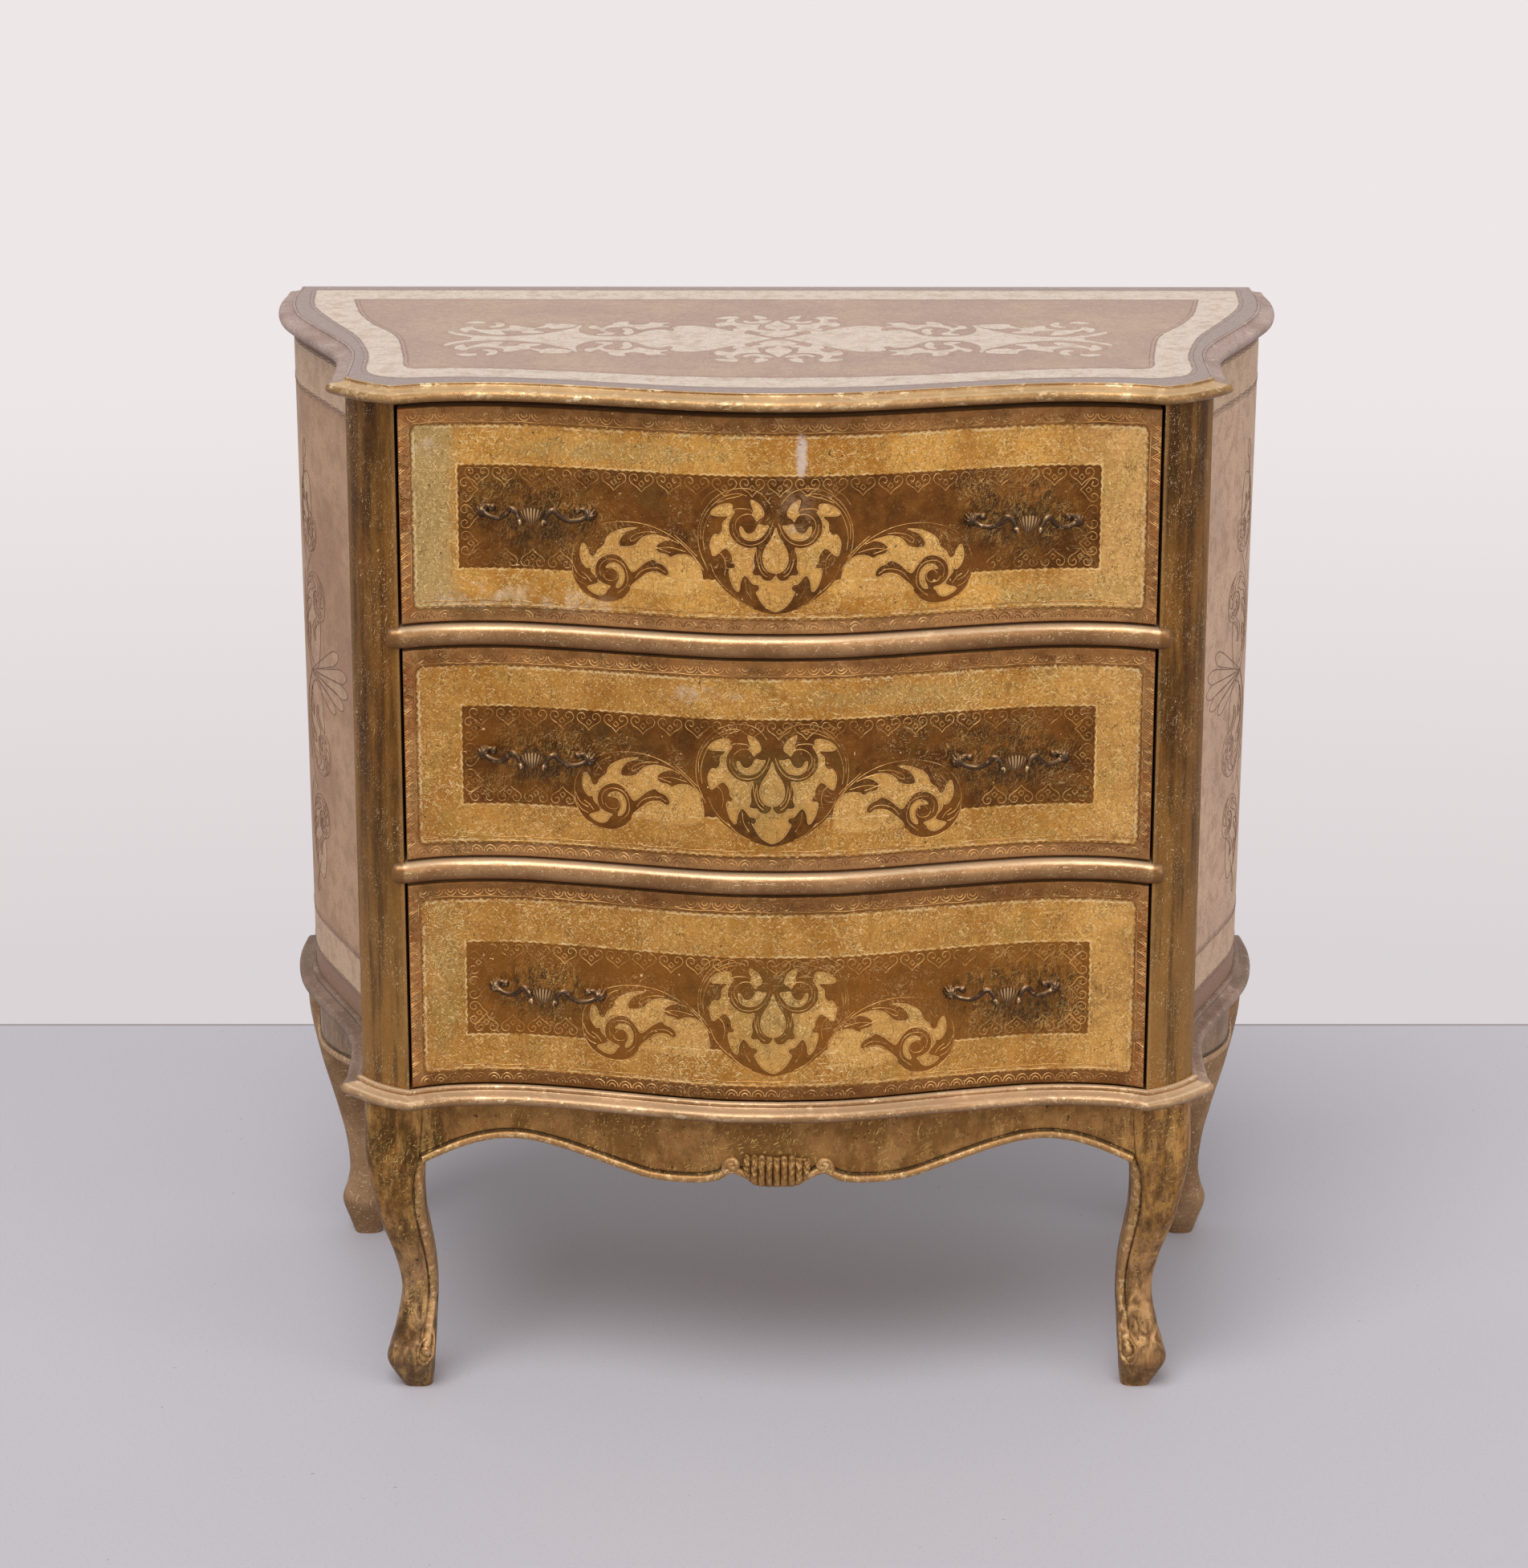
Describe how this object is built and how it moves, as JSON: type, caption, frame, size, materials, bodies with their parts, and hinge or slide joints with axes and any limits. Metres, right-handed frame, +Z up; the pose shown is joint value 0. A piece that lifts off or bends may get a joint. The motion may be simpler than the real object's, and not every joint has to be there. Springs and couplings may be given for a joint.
{
  "type": "commode chest",
  "caption": "Small serpentine-front commode chest on cabriole legs, with sliding drawers, shaped sides, gilt mouldings, a carved shell apron and cast bar pulls.",
  "frame": {"origin": "on the floor, below the middle of the box round the whole chest", "axes": "+X to the right seen from the front, +Y to the back, +Z up; the drawer fronts face -Y"},
  "size_m": [0.786, 0.4235, 0.799],
  "materials": {
    "painted_front": "aged gold leaf and brown paint, satin, crazed and worn",
    "painted_case": "aged mauve and cream paint, satin",
    "gilt_wood": "worn gilding over red ground, satin",
    "bronzed_wood": "dark bronze and gold paint, satin, speckled",
    "bare_wood": "matt",
    "brass": "dark patina"
  },
  "bodies": {
    "carcass": {"top_board": "painted_case", "top_moulding_left": "painted_case", "top_moulding_front": "gilt_wood", "top_moulding_right": "painted_case", "base_moulding_left": "painted_case", "base_moulding_front": "gilt_wood", "base_moulding_right": "painted_case", "bottom_board": "bare_wood", "front_post_right": "bronzed_wood", "front_post_left": "bronzed_wood", "side_panel_right": "painted_case", "side_panel_left": "painted_case", "rear_post_right": "bare_wood", "rear_post_left": "bare_wood", "back_panel": "bare_wood", "base_rail": "gilt_wood", "drawer_rail_lower": "gilt_wood", "drawer_rail_upper": "gilt_wood", "top_front_rail": "bare_wood", "rear_rail_lower": "bare_wood", "rear_rail_upper": "bare_wood", "rear_rail_top": "bare_wood", "runner_lower_right": "bare_wood", "runner_lower_left": "bare_wood", "runner_middle_right": "bare_wood", "runner_middle_left": "bare_wood", "runner_upper_right": "bare_wood", "runner_upper_left": "bare_wood", "front_leg_right": "bronzed_wood", "front_leg_left": "bronzed_wood", "rear_leg_right": "bronzed_wood", "rear_leg_left": "bronzed_wood", "apron_front": "bronzed_wood", "apron_side_right": "bronzed_wood", "apron_side_left": "bronzed_wood", "apron_rear": "bare_wood", "apron_shell": "gilt_wood"},
    "drawer_lower": {"drawer_lower_front": "painted_front", "drawer_lower_side_right": "bare_wood", "drawer_lower_side_left": "bare_wood", "drawer_lower_back": "bare_wood", "drawer_lower_bottom": "bare_wood", "drawer_lower_pull_left": "brass", "drawer_lower_pull_right": "brass"},
    "drawer_middle": {"drawer_middle_front": "painted_front", "drawer_middle_side_right": "bare_wood", "drawer_middle_side_left": "bare_wood", "drawer_middle_back": "bare_wood", "drawer_middle_bottom": "bare_wood", "drawer_middle_pull_left": "brass", "drawer_middle_pull_right": "brass"},
    "drawer_upper": {"drawer_upper_front": "painted_front", "drawer_upper_side_right": "bare_wood", "drawer_upper_side_left": "bare_wood", "drawer_upper_back": "bare_wood", "drawer_upper_bottom": "bare_wood", "drawer_upper_pull_left": "brass", "drawer_upper_pull_right": "brass"}
  },
  "joints": [
    {"name": "drawer_lower_slide", "type": "slide", "parent": "carcass", "child": "drawer_lower", "axis": [0, -1, 0], "range_m": [0, 0.28]},
    {"name": "drawer_middle_slide", "type": "slide", "parent": "carcass", "child": "drawer_middle", "axis": [0, -1, 0], "range_m": [0, 0.28]},
    {"name": "drawer_upper_slide", "type": "slide", "parent": "carcass", "child": "drawer_upper", "axis": [0, -1, 0], "range_m": [0, 0.28]}
  ]
}
